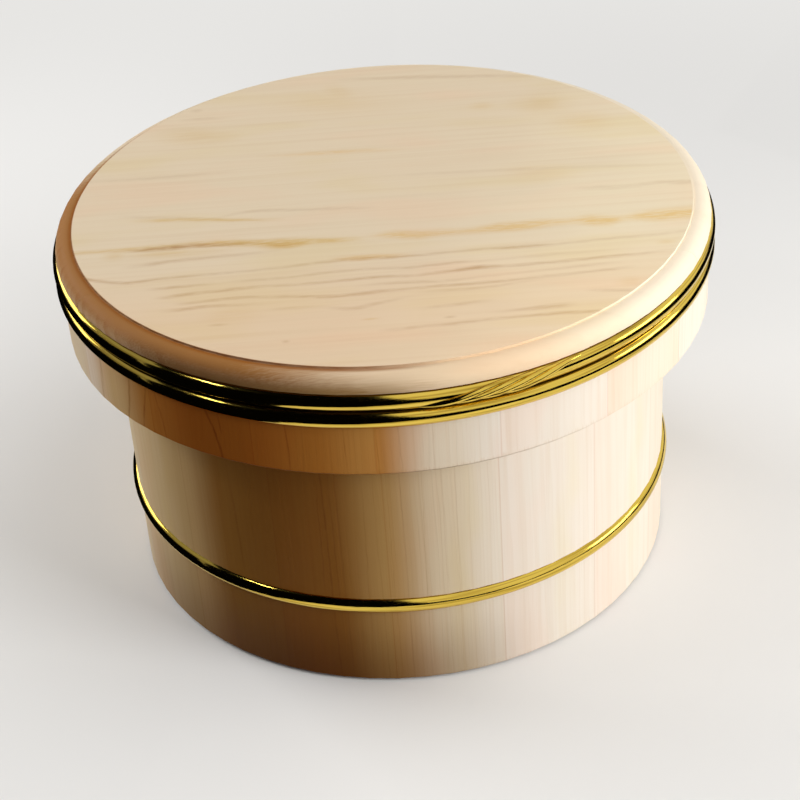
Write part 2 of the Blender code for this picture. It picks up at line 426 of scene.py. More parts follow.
class Wood:
    """The look of one board, built up from its place in the log."""

    def __init__(self, finish, along, across, behind, colour, cut, end_grain):
        self.finish = finish
        self.cut = cut
        self.end_grain = end_grain
        self.place = finish.join(along, across, behind)
        self.along = along
        self.across = across
        self.behind = behind
        self.rings = self.growth_rings()
        self.fibre = finish.noise(self.place, FIBRE_SIZE, 3.0)
        self.colour = colour
        self.grow()

    def growth_rings(self):
        """The late wood of the growth rings, from 0 to 1, which ends sharply at each ring."""
        finish, cut = self.finish, self.cut
        waver = (finish.noise(self.place, RING_WAVER_SIZE) - 0.5) * RING_WAVER
        beside = self.across - cut.pith_beside + waver
        below = self.behind + cut.pith_behind
        radius = (beside * beside + below * below) ** 0.5 + self.along * cut.drift
        count = radius / cut.ring_width
        share = finish.math("FRACT", count)
        late = finish.smooth(share, 0.2, 0.86) * finish.smooth(share, 1.0, 0.9)
        weight = finish.random_of(finish.math("FLOOR", count))
        return late * (weight * 0.8 + 0.2)

    def grow(self):
        """Lays the natural markings over the plain colour."""
        finish, figure = self.finish, self.cut.figure
        cloud = finish.noise(self.place, CLOUD_SIZE)
        self.shade(finish.smooth(cloud, 0.50, 0.68), PINK_TINT)
        self.shade(finish.smooth(cloud, 0.48, 0.32), STRAW_TINT)
        bands = finish.noise(self.place, BAND_SIZE)
        self.shade(finish.smooth(bands, 0.46, 0.70, figure), BAND_TINT)
        self.shade(self.rings * (self.end_grain * 0.2 + 0.4 * figure), RING_TINT)
        broken = finish.noise(self.place, FIBRE_BREAK_SIZE, 1.0)
        shown = finish.smooth(broken, 0.3, 0.7, 0.6 * figure)
        self.shade(finish.smooth(self.fibre, 0.50, 0.76) * shown, FIBRE_TINT)
        self.shade(self.end_grain * 0.4, END_GRAIN_TINT)

    def shade(self, factor, tint):
        """Tints the wood where factor is 1."""
        self.colour = self.finish.mix(factor, self.colour, tint, "MULTIPLY")

    def stain(self, factor, colour):
        """Lays a colour over the wood where factor is 1."""
        self.colour = self.finish.mix(factor, self.colour, colour)

    def patches(self, point, patches, tint):
        """Lays lens-shaped patches over the wood, broken up along the grain."""
        if not patches:
            return
        finish = self.finish
        lenses = [self.lens(point, patch) for patch in patches]
        broken = finish.smooth(finish.noise(self.place, PATCH_BREAK_SIZE), 0.25, 0.6)
        self.shade(finish.largest(lenses) * (broken * 0.55 + 0.45), tint)

    def lens(self, point, patch):
        """One patch: its strength on its middle line, and 0 outside it."""
        (x0, y0), (x1, y1) = patch.start, patch.end
        placed = self.finish.node(
            "ShaderNodeMapping", {"vector_type": "TEXTURE"},
            {"Vector": point,
             "Location": ((x0 + x1) / 2, (y0 + y1) / 2, 0.0),
             "Rotation": (0.0, 0.0, math.atan2(y1 - y0, x1 - x0)),
             "Scale": (math.dist(patch.start, patch.end) / 2, patch.half_width, 1.0)})
        near = self.finish.node(
            "ShaderNodeTexGradient", {"gradient_type": "SPHERICAL"}, {"Vector": placed})
        return self.finish.smooth(near, 0.0, 1.0, patch.strength)

    def lines(self, along, across, lines, tint):
        """Draws grain lines, each given by points (along, across, half width, strength) in mm."""
        if not lines:
            return
        finish = self.finish
        waver = (finish.noise(self.place, LINE_WAVER_SIZE, 1.0) - 0.5) * LINE_WAVER
        strokes = [self.stroke(along, across + waver, line) for line in lines]
        broken = finish.smooth(finish.noise(self.place, LINE_BREAK_SIZE), 0.3, 0.62)
        self.shade(finish.largest(strokes) * (broken * 0.5 + 0.5), tint)

    def stroke(self, along, across, line):
        """One grain line, whose points a colour ramp holds as its place, strength and width."""
        finish = self.finish
        stops = [
            ((x + LINE_REACH) / (2 * LINE_REACH),
             ((y + LINE_REACH) / (2 * LINE_REACH), strength, half_width / WIDEST_LINE))
            for x, y, half_width, strength in line]
        share = (along + LINE_REACH) / (2 * LINE_REACH)
        ramp = finish.node("ShaderNodeValToRGB", {"stops": stops}, {0: share})
        place, strength, width = finish.node("ShaderNodeSeparateColor", inputs={0: ramp}, output=None)
        offset = across - (place * (2 * LINE_REACH) - LINE_REACH)
        return finish.smooth(abs(offset) / (width * WIDEST_LINE), 1.0, 0.0) * strength

    def material(self, normal=None):
        """Ends the material: a planed surface with a little relief along the grain."""
        finish = self.finish
        height = self.fibre * 0.6 - self.rings * 0.35
        relief = {"Height": height, "Strength": 0.2, "Distance": GRAIN_DEPTH}
        if normal:
            relief["Normal"] = normal
        bump = finish.node("ShaderNodeBump", inputs=relief)
        roughness = self.fibre * 0.18 + self.end_grain * 0.12 + 0.40
        return finish.surface(self.colour, roughness, bump, **{"Specular IOR Level": BARE_WOOD_GLOSS})


# How far the wood leans from sapwood to heartwood round each wall: directions in degrees and shares.
# The deep tones on the front-left, away from the key lamp, are partly heartwood and partly painted shade.
TUB_TONES_AND_SHADE = (
    (-180, 0.17), (-161, 0.17), (-150, 0.23), (-139, 0.34), (-128, 0.83), (-118, 0.94), (-108, 1.0),
    (-99, 0.96), (-94, 0.48), (-88, 0.23), (-82, 0.08), (-71, 0.0), (-10, 0.03), (40, 0.18),
    (75, 0.25), (110, 0.12), (150, 0.27), (180, 0.17),
)
LID_TONES_AND_SHADE = (
    (-180, 0.11), (-166, 0.07), (-150, 0.05), (-141, 0.36), (-130, 0.86), (-124, 0.91), (-112, 0.86),
    (-105, 0.76), (-96, 0.71), (-90, 0.25), (-84, 0.05), (-74, 0.0), (-40, 0.0), (20, 0.09),
    (60, 0.27), (100, 0.18), (140, 0.30), (180, 0.11),
)
TONE_SPREAD = 0.04
BOTTOM_TONES = (0.05, 0.25)
STAVE_FIGURE = 0.4

# How squarely a face must look outward to be shaded as round, from where that starts to where it is full
ROUND_FACING = (0.985, 0.99)

# The side on which the tub's foot is darkened with painted shade, and how squarely a place lies there
# where it starts and is full
FOOT_SHADE_SIDE = math.radians(-119)
FOOT_SHADE_TURN = (0.5, 0.95)

# How wide a joint is soiled, how unevenly the foot's painted shade and darkened end rise, and how far
# an end is darkened, in mm
SEAM_WIDTH = 0.5
FOOT_UNEVEN = 8.0
END_SOIL = 3.0

# Grain lines on the walls: points of height and direction in degrees, half width and strength
TUB_LINES = (
    ((2, -105.0, 0.6, 0.30), (40, -105.3, 0.8, 0.45), (80, -105.3, 0.8, 0.56), (118, -105.5, 0.7, 0.45)),
    ((40, -106.8, 0.7, 0.00), (60, -106.7, 0.7, 0.34), (104, -106.5, 0.7, 0.34), (116, -106.5, 0.6, 0.15)),
    ((30, -103.8, 0.6, 0.00), (50, -103.9, 0.6, 0.38), (90, -104.0, 0.6, 0.38), (112, -104.1, 0.6, 0.15)),
    ((4, -102.5, 0.6, 0.22), (40, -102.6, 0.6, 0.15), (70, -102.7, 0.6, 0.30), (112, -102.8, 0.6, 0.30)),
    ((20, -98.1, 0.5, 0.08), (50, -98.0, 0.6, 0.30), (90, -97.8, 0.6, 0.30), (114, -97.7, 0.5, 0.08)),
    ((6, -95.3, 0.5, 0.22), (60, -95.5, 0.5, 0.22), (114, -95.6, 0.5, 0.15)),
    ((6, -92.6, 0.5, 0.08), (50, -92.8, 0.5, 0.26), (112, -92.9, 0.5, 0.18)),
    ((10, -90.2, 0.5, 0.22), (60, -90.3, 0.5, 0.12), (114, -90.5, 0.5, 0.22)),
    ((10, -86.6, 0.5, 0.15), (70, -86.5, 0.5, 0.24), (114, -86.3, 0.5, 0.22)),
    ((8, -82.4, 0.6, 0.22), (40, -82.5, 0.6, 0.15), (112, -82.6, 0.6, 0.26)),
    ((8, -80.2, 0.5, 0.15), (70, -80.1, 0.5, 0.22), (112, -80.0, 0.5, 0.15)),
    ((50, -124.6, 1.2, 0.00), (62, -124.7, 1.2, 0.30), (92, -125.1, 1.2, 0.30), (104, -125.3, 1.2, 0.00)),
)
LID_LINES = (
    ((130, -140.8, 0.9, 0.5), (142, -139.7, 1.2, 0.9), (150, -139.0, 1.2, 0.8), (158, -138.6, 1.0, 0.6)),
    ((130, -136.6, 0.8, 0.5), (144, -135.6, 1.1, 0.8), (158, -134.5, 0.9, 0.6)),
    ((131, -131.0, 0.7, 0.3), (144, -131.5, 0.8, 0.6), (158, -132.4, 0.7, 0.4)),
    ((130, -119.4, 1.0, 0.95), (140, -120.0, 1.1, 1.0), (150, -120.9, 1.1, 0.9), (159, -122.1, 1.0, 0.8)),
    ((145, -119.2, 0.7, 0.0), (148, -119.2, 0.8, 0.6), (158, -119.6, 0.7, 0.4)),
    ((132, -107.6, 0.5, 0.3), (145, -107.7, 0.6, 0.5), (158, -107.9, 0.5, 0.4)),
    ((130, -148.7, 1.6, 0.5), (144, -148.1, 1.8, 0.5), (158, -147.4, 1.4, 0.3)),
    ((132, -98.4, 0.5, 0.3), (145, -98.5, 0.5, 0.5), (158, -98.6, 0.5, 0.3)),
    ((132, -93.3, 0.5, 0.4), (145, -93.4, 0.5, 0.4), (158, -93.5, 0.5, 0.2)),
    ((132, -89.7, 0.4, 0.3), (158, -90.0, 0.4, 0.3)),
    ((132, -84.6, 0.4, 0.2), (158, -84.8, 0.4, 0.3)),
)


def tone_at(tones_and_shade, direction):
    """The tone in a direction, read between those of a list."""
    direction = (direction + 180) % 360 - 180
    for (start, first), (end, last) in zip(tones_and_shade, tones_and_shade[1:]):
        if start <= direction <= end:
            return first + (last - first) * (direction - start) / (end - start)
    raise ValueError(f"no tone is given for {direction} degrees")


def wood_colour(sapwood, heartwood, tone):
    """The colour of a tone, from sapwood at 0 to heartwood at 1, deepened as a stain deepens."""
    tone = min(1.0, max(0.0, tone))
    return tuple(pale ** (1.0 - tone) * deep ** tone for pale, deep in zip(sapwood, heartwood))


def stave_colour(finish, name, tones_and_shade, across, half_width, sapwood, heartwood):
    """A colour that passes over a stave through its tones at one joint, its middle and the other."""
    middle, half = math.degrees(middle_angle(name)), math.degrees(half_sweep(name))
    own = random.Random(name + " tone").uniform(-TONE_SPREAD, TONE_SPREAD)
    first, centre, last = (
        wood_colour(sapwood, heartwood, tone_at(tones_and_shade, direction) + own)
        for direction in (middle - half, middle, middle + half))
    colour = finish.mix(finish.smooth(across, -half_width, 0.0), first, centre)
    return finish.mix(finish.smooth(across, 0.0, half_width), colour, last)


def stave_cut(name):
    """Where a stave or a plank of the bottom grew, drawn for each."""
    draw = random.Random(name)
    pith_beside = draw.choice((-1, 1)) * draw.uniform(15.0, 160.0)
    pith_behind = draw.uniform(25.0, 90.0)
    ring_width = draw.uniform(1.5, 2.6)
    return Cut(pith_beside, pith_behind, ring_width, draw.uniform(-0.02, 0.02), STAVE_FIGURE)


def round_normal(finish, point):
    """The surface's normal, made truly round on faces that lie round the axis."""
    x, y = finish.split(point)[:2]
    flat = finish.node("ShaderNodeTexCoord", output=1)
    outward = finish.vector("NORMALIZE", finish.join(x, y))
    match = finish.vector("DOT_PRODUCT", flat, outward, output=1)
    side = finish.math("SIGN", match)
    wall = finish.vector("MULTIPLY", outward, finish.join(side, side, side))
    share = finish.smooth(abs(match), *ROUND_FACING)
    rounded = finish.node(
        "ShaderNodeMix", {"data_type": "VECTOR"}, {0: share, 4: flat, 5: wall}, output=1)
    return finish.node(
        "ShaderNodeVectorTransform",
        {"vector_type": "NORMAL", "convert_from": "OBJECT", "convert_to": "WORLD"},
        {"Vector": rounded})


def lines_near(lines, name, radius):
    """The grain lines on one stave, with their directions as arcs in mm."""
    middle, half = math.degrees(middle_angle(name)), math.degrees(half_sweep(name))
    found = []
    for line in lines:
        offsets = [(direction - middle + 180) % 360 - 180 for height, direction, width, strength in line]
        if min(abs(offset) for offset in offsets) < half:
            found.append([
                (height, math.radians(offset) * radius / MM, width, strength)
                for offset, (height, direction, width, strength) in zip(offsets, line)])
    return found


def dress_stave(name, tones_and_shade, lines, radius, heartwood, settings):
    finish = new_finish(name + "_wood")
    point = finish.point()
    radial, across, along = finish.split(finish.turned(point, -middle_angle(name)))
    half_width = half_sweep(name) * radius / MM
    colour = stave_colour(finish, name, tones_and_shade, across, half_width, settings.sapwood, heartwood)
    end_grain = finish.smooth(finish.facing((0.0, 0.0, 1.0)), *END_FACING)
    wood = Wood(finish, along, across, radius / MM - radial, colour, stave_cut(name), end_grain)
    wood.lines(along, across, lines_near(lines, name, radius), settings.umber)
    wood.shade(finish.smooth(abs(across), half_width - SEAM_WIDTH, half_width, 0.4), SEAM_TINT)
    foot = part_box(name)[0].z / MM
    ragged = along + (wood.fibre - 0.5) * FOOT_UNEVEN
    # Painted shade darkens the tub's foot on its front-left side
    if name in TUB_STAVES:
        x, y = finish.split(point)[:2]
        side = finish.smooth(finish.toward(x, y, FOOT_SHADE_SIDE), *FOOT_SHADE_TURN)
        wood.shade(side * finish.smooth(ragged, settings.foot_shade_height / MM, 0.0), FOOT_SHADE_TINT)
    wood.shade(finish.smooth(ragged, foot + END_SOIL, foot, 0.5), EDGE_TINT)
    put_on(NODES[name], wood.material(round_normal(finish, point)))


# The lid's board, in mm from its middle: x runs along the grain
UMBER_LINES = (
    ((-118, -34.8, 2.2, 0.00), (-108, -34.6, 2.6, 0.61), (-99, -34.2, 3.1, 0.81), (-88, -33.8, 3.4, 0.81),
     (-76, -34.6, 3.0, 0.57), (-60, -35.8, 2.3, 0.24), (-46, -37.2, 2.2, 0.00)),
    ((-118, -49.0, 2.5, 0.00), (-102, -47.2, 3.0, 0.45), (-92, -46.0, 2.6, 0.41), (-77, -45.0, 2.5, 0.34),
     (-60, -44.6, 2.3, 0.23), (-40, -43.6, 2.2, 0.00)),
    ((-138, -53.0, 2.5, 0.41), (-130, -57.4, 2.6, 0.61), (-121, -60.6, 2.5, 0.49), (-112, -62.4, 2.5, 0.57),
     (-102, -61.2, 2.3, 0.49), (-86, -60.2, 2.2, 0.41), (-64, -59.8, 2.2, 0.28), (-40, -58.2, 2.2, 0.32),
     (-20, -56.2, 2.6, 0.41), (5, -57.0, 2.5, 0.49), (24, -56.4, 2.2, 0.37), (46, -55.8, 2.3, 0.41),
     (60, -56.3, 2.6, 0.61), (76, -56.0, 2.2, 0.28), (96, -54.8, 2.2, 0.28), (118, -54.0, 2.2, 0.24),
     (134, -52.8, 2.2, 0.16)),
    ((-106, -69.4, 2.2, 0.00), (-96, -69.2, 2.3, 0.41), (-84, -68.6, 2.3, 0.34), (-72, -68.2, 2.2, 0.10),
     (-58, -67.6, 2.2, 0.28), (-44, -67.8, 2.2, 0.28), (-26, -66.2, 2.2, 0.34), (-6, -65.6, 2.2, 0.28),
     (10, -66.8, 2.2, 0.37), (30, -65.6, 2.2, 0.37), (44, -65.8, 1.9, 0.16), (66, -64.8, 2.2, 0.21),
     (90, -64.6, 1.9, 0.10), (110, -63.8, 1.7, 0.00)),
    ((-102, -77.2, 2.2, 0.00), (-92, -76.6, 2.5, 0.50), (-82, -75.4, 2.5, 0.50), (-66, -74.6, 2.5, 0.45),
     (-56, -73.8, 2.2, 0.32), (-36, -74.2, 2.2, 0.32), (-18, -73.6, 2.3, 0.50), (-4, -73.0, 2.5, 0.57),
     (10, -73.8, 2.2, 0.32), (28, -72.4, 2.5, 0.57), (40, -71.2, 3.1, 0.77), (50, -71.6, 2.3, 0.41),
     (62, -71.6, 2.3, 0.49), (76, -71.2, 2.2, 0.41), (94, -70.2, 2.3, 0.45), (112, -69.2, 2.2, 0.28),
     (124, -68.0, 1.9, 0.08)),
    ((-94, -83.4, 1.9, 0.00), (-84, -83.0, 2.2, 0.34), (-66, -81.8, 2.2, 0.41), (-50, -83.0, 2.2, 0.32),
     (-32, -85.2, 2.3, 0.49), (-20, -86.2, 2.3, 0.49), (-6, -85.2, 2.5, 0.50), (8, -84.6, 2.3, 0.37),
     (22, -84.2, 2.3, 0.45), (38, -84.2, 2.3, 0.50), (56, -83.6, 2.2, 0.37), (78, -82.2, 2.2, 0.32),
     (96, -80.8, 2.2, 0.34), (110, -80.0, 1.9, 0.00)),
    ((-98, -88.4, 2.2, 0.00), (-88, -88.2, 2.5, 0.45), (-76, -87.0, 2.3, 0.41), (-60, -88.0, 2.2, 0.16),
     (-44, -88.4, 2.2, 0.00)),
    ((-16, -79.4, 1.7, 0.00), (4, -79.0, 2.2, 0.34), (22, -80.4, 2.2, 0.34), (38, -79.4, 1.9, 0.21),
     (58, -78.0, 1.9, 0.16), (84, -76.2, 1.9, 0.28), (104, -75.4, 1.7, 0.00)),
    ((8, -88.0, 1.9, 0.00), (24, -88.2, 2.2, 0.24), (42, -88.0, 2.2, 0.28), (58, -85.8, 1.9, 0.16),
     (70, -85.0, 1.9, 0.00)),
    ((-54, -93.6, 2.2, 0.00), (-42, -93.4, 2.3, 0.21), (-28, -94.4, 2.2, 0.08), (-16, -97.4, 2.5, 0.37),
     (-6, -95.0, 2.5, 0.34), (4, -92.4, 2.2, 0.16), (14, -91.0, 2.2, 0.00)),
    ((10, -101.4, 2.2, 0.00), (22, -100.8, 2.3, 0.24), (34, -99.6, 2.5, 0.32), (46, -98.6, 2.2, 0.00)),
    ((40, -108.8, 2.2, 0.00), (52, -108.2, 2.3, 0.24), (68, -107.2, 3.1, 0.45), (80, -107.0, 2.5, 0.00)),
    ((-6, -116.6, 2.2, 0.00), (6, -116.0, 2.5, 0.34), (16, -115.6, 2.3, 0.28), (26, -115.2, 2.5, 0.41),
     (44, -113.8, 2.3, 0.32), (58, -113.4, 2.3, 0.41), (70, -113.0, 2.6, 0.49), (84, -113.6, 2.5, 0.41),
     (92, -113.8, 2.2, 0.16)),
    ((82, -96.6, 2.2, 0.00), (90, -97.4, 2.3, 0.32), (104, -99.4, 2.2, 0.32), (112, -100.4, 2.2, 0.16)),
    ((-126, -1.0, 2.3, 0.00), (-112, -3.2, 2.5, 0.16), (-96, -6.0, 2.5, 0.16), (-76, -9.0, 2.3, 0.08),
     (-62, -5.6, 2.3, 0.28), (-40, -7.2, 2.5, 0.28), (-14, -9.2, 2.5, 0.24), (0, -10.4, 2.2, 0.00)),
    ((86, -5.8, 2.5, 0.00), (102, -7.4, 3.7, 0.24), (114, -7.8, 3.4, 0.21), (128, -6.4, 3.1, 0.28),
     (140, -8.0, 3.7, 0.37)),
    ((-140, 36.0, 2.5, 0.10), (-120, 34.8, 2.6, 0.21), (-92, 35.0, 2.6, 0.23), (-66, 35.6, 2.5, 0.00)),
    ((-30, 131.0, 2.5, 0.00), (4, 128.0, 3.4, 0.28), (40, 123.8, 3.7, 0.34), (70, 119.4, 3.4, 0.24),
     (96, 115.0, 2.5, 0.00)),
    ((-100, 95.0, 2.5, 0.00), (-88, 95.2, 3.0, 0.21), (-70, 94.4, 2.5, 0.00)),
    ((-20, 20.0, 2.2, 0.00), (20, 19.0, 2.5, 0.13), (70, 16.0, 2.5, 0.18), (120, 12.0, 2.5, 0.16),
     (144, 10.0, 2.5, 0.08)),
)
OCHRE_LINES = (
    ((-128, -32.6, 3.2, 0.50), (-110, -33.0, 4.2, 0.65), (-88, -32.4, 4.6, 0.58), (-72, -33.4, 5.1, 0.87),
     (-56, -35.6, 5.5, 0.95), (-44, -37.6, 6.8, 0.95), (-34, -37.4, 5.1, 0.79), (-20, -38.2, 3.9, 0.65),
     (-6, -38.0, 3.2, 0.00)),
    ((-118, -6.4, 2.6, 0.00), (-104, -7.8, 3.0, 0.55), (-88, -9.0, 3.0, 0.58), (-74, -11.6, 3.0, 0.65),
     (-60, -13.6, 2.6, 0.55), (-42, -15.4, 2.3, 0.00)),
)
AMBER_LINES = (
    ((-10, -36.6, 3.2, 0.00), (4, -36.8, 5.5, 0.77), (15, -38.6, 6.5, 0.79), (28, -38.2, 5.1, 0.63),
     (40, -38.6, 4.9, 0.65), (50, -37.6, 6.5, 0.89), (62, -37.4, 6.8, 0.95), (72, -36.6, 5.8, 0.84),
     (84, -36.4, 4.6, 0.63), (92, -37.2, 7.2, 0.95), (101, -38.4, 6.8, 0.92), (108, -37.2, 4.6, 0.63),
     (117, -36.8, 7.2, 0.92), (128, -37.0, 8.4, 1.00), (142, -36.2, 8.1, 1.00)),
    ((-26, -54.6, 3.2, 0.00), (-14, -55.2, 4.2, 0.71), (2, -55.6, 3.5, 0.58), (14, -56.2, 3.0, 0.00)),
    ((-60, 48.8, 2.6, 0.00), (-34, 48.2, 3.2, 0.50), (-8, 47.4, 3.5, 0.50), (16, 45.6, 3.2, 0.00)),
)
OCHRE_PATCHES = (
    Patch((-60, -39.6), (-32, -39.4), 5.0, 0.42),
    Patch((-128, -37.5), (-62, -40.0), 6.0, 0.40),
    Patch((-129, -38.4), (-112, -37.4), 6.0, 0.34),
    Patch((-84, -96), (-48, -96), 9.0, 0.22),
    Patch((94, -92), (112, -92), 6.0, 0.22),
    Patch((116, -61), (130, -61), 3.0, 0.30),
    Patch((-118, 81.5), (-60, 71.0), 14.0, 0.36),
    Patch((62, 89), (105, 79), 17.0, 0.34),
    Patch((-26, 128), (-10, 104), 9.0, 0.21),
    Patch((-14, -106.8), (-2, -106.8), 1.4, 0.40),
)
AMBER_PATCHES = (
    Patch((44, 87), (62, 87), 6.0, 0.32),
    Patch((80, 67), (124, 58), 15.0, 0.30),
    Patch((48, 16), (100, 7), 14.0, 0.28),
    Patch((-70, 112), (30, 94), 22.0, 0.20),
)
UMBER_PATCHES = (
    Patch((-78, -102.4), (-66, -102.8), 1.8, 0.30),
    Patch((-46, -119.4), (-41, -119.4), 2.0, 0.35),
    Patch((-95, 105.0), (-85, 105.0), 3.0, 0.28),
    Patch((21, -109.8), (29, -109.8), 1.6, 0.35),
)
LID_CUT = Cut(-330.0, 150.0, 5.2, 0.006, 0.28)
# The side on which the shoulder browns, partly as a stain and partly as painted shade
BROWNED_AND_SHADED_SIDE = math.radians(-152)
# Painted shade on and beside the step, on the browned side
STEP_SHADE = (0.31, 0.10, 0.012)
STREAK_TINT = (0.74, 0.48, 0.26)
# Painted shade on the shoulder's lower part on the front-left, and the side it lies on
SHOULDER_SHADE_TINT = (0.42, 0.30, 0.13)
SHOULDER_SHADE_SIDE = math.radians(-112)
PEACH_TINT = (1.03, 0.955, 0.90)

# Where the board pales toward one end, partly as painted light from the lamps' side, and turns peach
# toward the front, in mm
PALE_AND_LIT_RANGE = (20.0, 150.0)
PALE_AND_LIT_UNEVEN = 80.0
PEACH_RANGE = (-35.0, -105.0)

# Where the shoulder's marks, painted light and painted shade start and where they are full: outward from
# the edge of the flat and down from the lid's top, in mm, and how squarely a place lies on the marked side
PAST_FLAT = (-0.6, -0.1)
ON_SHOULDER = (-0.2, 0.8)
STEP_INSIDE = (-0.5, 0.0)
STEP_OUTSIDE = (2.6, 0.6)
BROWNED_AND_SHADED_DEPTH = (7.6, 2.6)
SHOULDER_SHADE_DEPTH = (0.8, 7.0)
PALE_AND_LIT_TURN = (0.2, -0.4)
BROWNED_AND_SHADED_TURN = (0.50, 0.82)
STEP_SHADE_TURN = (0.26, 0.62)
SHOULDER_SHADE_TURN = (0.86, 0.98)


def line_edges(line):
    return [y + side * half_width for x, y, half_width, strength in line for side in (-1, 1)]


def patch_edges(patch):
    return [y + side * patch.half_width for x, y in (patch.start, patch.end) for side in (-1, 1)]


def marks_on(marks, name, edges_of):
    """The lines or patches that reach a plank of the lid's board."""
    low, high = (corner.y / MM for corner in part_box(name))
    return [mark for mark in marks if min(edges_of(mark)) < high and max(edges_of(mark)) > low]


def dress_lid_plank(name, settings):
    finish = new_finish(name + "_wood")
    point = finish.point()
    along, across, height = finish.split(point)
    end_grain = finish.smooth(finish.facing((1.0, 0.0, 0.0)), *LID_END_FACING)
    # The board pales toward its right end and the front, partly as paler wood and partly as painted light
    cloud = (finish.noise(point, (60.0, 30.0, 30.0)) - 0.5) * PALE_AND_LIT_UNEVEN
    pale = finish.smooth(along - across * 0.4 + cloud, *PALE_AND_LIT_RANGE)
    colour = finish.mix(pale, settings.lid_board, settings.lid_pale_and_lit)
    wood = Wood(finish, along, across, LID_TOP / MM - height, colour, LID_CUT, end_grain)
    wood.shade(finish.smooth(across, *PEACH_RANGE), PEACH_TINT)
    flat = finish.join(along, across)
    for lines, patches, tint in (
            (OCHRE_LINES, OCHRE_PATCHES, settings.ochre), (AMBER_LINES, AMBER_PATCHES, settings.amber),
            (UMBER_LINES, UMBER_PATCHES, settings.umber)):
        wood.patches(flat, marks_on(patches, name, patch_edges), tint)
        wood.lines(along, across, marks_on(lines, name, line_edges), tint)
    brown_edge(wood, along, across, settings)
    put_on(NODES[name], wood.material())


def brown_edge(wood, x, y, settings):
    """Browns the board's shoulder on one side, partly as painted shade, and paints the step's shade there.
    """
    finish, depth = wood.finish, wood.behind
    outward = (x * x + y * y) ** 0.5 - FLAT_RADIUS / MM
    uneven = wood.fibre - 0.5
    toward = finish.toward(x, y, BROWNED_AND_SHADED_SIDE)
    ragged = toward + uneven * 0.16
    shoulder = finish.smooth(outward, *ON_SHOULDER)
    browned_and_shaded = shoulder * finish.smooth(ragged, *BROWNED_AND_SHADED_TURN)
    level = finish.smooth(depth - uneven * 2.0, *BROWNED_AND_SHADED_DEPTH) * 0.5 + 0.5
    # The shoulder on the far side from the brown is stained paler, partly as pale wood and partly as
    # painted light
    pale = between(settings.sapwood, settings.lid_pale_and_lit, 0.5)
    wood.stain(finish.smooth(outward, *PAST_FLAT) * finish.smooth(toward, *PALE_AND_LIT_TURN, 0.85), pale)
    # The shoulder's brown on the side away from the lamps is partly a stain and partly painted shade
    wood.stain(browned_and_shaded * level, settings.shoulder_stain_and_shade)
    wood.shade(browned_and_shaded * wood.end_grain * wood.rings * 0.6, STREAK_TINT)
    # Painted shade on the shoulder's lower part on the front-left, which faces away from the lamps
    shoulder_shade = finish.smooth(finish.toward(x, y, SHOULDER_SHADE_SIDE) + uneven * 0.06, *SHOULDER_SHADE_TURN)
    wood.shade(shoulder * shoulder_shade * finish.smooth(depth, *SHOULDER_SHADE_DEPTH, 0.9), SHOULDER_SHADE_TINT)
    # Painted shade on and beside the step, on the browned side
    step = finish.smooth(outward, *STEP_INSIDE) * finish.smooth(outward, *STEP_OUTSIDE)
    wood.stain(step * finish.smooth(ragged, *STEP_SHADE_TURN, 0.9) * (wood.fibre * 0.4 + 0.7), STEP_SHADE)


def dress_bottom_plank(name, settings):
    finish = new_finish(name + "_wood")
    point = finish.point()
    along, across, height = finish.split(point)
    end_grain = finish.smooth(finish.facing((1.0, 0.0, 0.0)), *END_FACING)
    tone = random.Random(name + " tone").uniform(*BOTTOM_TONES)
    colour = wood_colour(settings.sapwood, settings.heartwood, tone)
    wood = Wood(finish, along, across, height, colour, stave_cut(name), end_grain)
    put_on(NODES[name], wood.material())


BAMBOO = (0.78, 0.66, 0.42)
BAMBOO_FIBRE = (0.52, 0.40, 0.20)
FIBRE_DEPTH = 0.0002


def dress_pin(name):
    finish = new_finish(name + "_bamboo")
    point = finish.point()
    fibre = finish.noise(point, (0.35, 20.0, 0.35), 3.0)
    colour = finish.mix(fibre, BAMBOO, BAMBOO_FIBRE)
    relief = {"Height": fibre, "Strength": 0.3, "Distance": FIBRE_DEPTH}
    bump = finish.node("ShaderNodeBump", inputs=relief)
    put_on(NODES[name], finish.surface(colour, fibre * 0.2 + 0.45, bump))


def put_on(piece, material):
    piece.data.materials.clear()
    piece.data.materials.append(material)


def new_object(name, data):
    made = bpy.data.objects.new(name, data)
    bpy.context.scene.collection.objects.link(made)
    return made


def new_mesh(name, solid):
    """A mesh made of a worked shape, which is let go."""
    mesh = bpy.data.meshes.new(name)
    solid.to_mesh(mesh)
    solid.free()
    return mesh


# Shading of the frame's own solids

def round_shading_group():
    """Geometry nodes that weld a faceted solid and shade it smooth, up to a sharp angle."""
    group = bpy.data.node_groups.new("Round shading", "GeometryNodeTree")
    for way in ("INPUT", "OUTPUT"):
        group.interface.new_socket("Geometry", in_out=way, socket_type="NodeSocketGeometry")
    nodes = Nodes(group)
    solid = nodes.node("NodeGroupInput")
    solid = nodes.node("GeometryNodeRemoveAttribute", inputs={0: solid, "Name": "custom_normal"})
    solid = nodes.node("GeometryNodeMergeByDistance", inputs={0: solid, "Distance": MERGE})
    solid = nodes.node("GeometryNodeSetShadeSmooth", inputs={0: solid})
    angle = nodes.node("GeometryNodeInputMeshEdgeAngle", output="Unsigned Angle")
    sharp = nodes.node(
        "FunctionNodeCompare", {"data_type": "FLOAT", "operation": "GREATER_THAN"},
        {"A": angle, "B": SHARP_ANGLE})
    solid = nodes.node(
        "GeometryNodeSetShadeSmooth", {"domain": "EDGE"},
        {0: solid, "Selection": sharp, "Shade Smooth": False})
    nodes.node("NodeGroupOutput", inputs={0: solid})
    return group


def shade_round(name):
    group = bpy.data.node_groups.get("Round shading") or round_shading_group()
    modifier = NODES[name].modifiers.new("Round shading", "NODES")
    modifier.node_group = group


# Glue lines

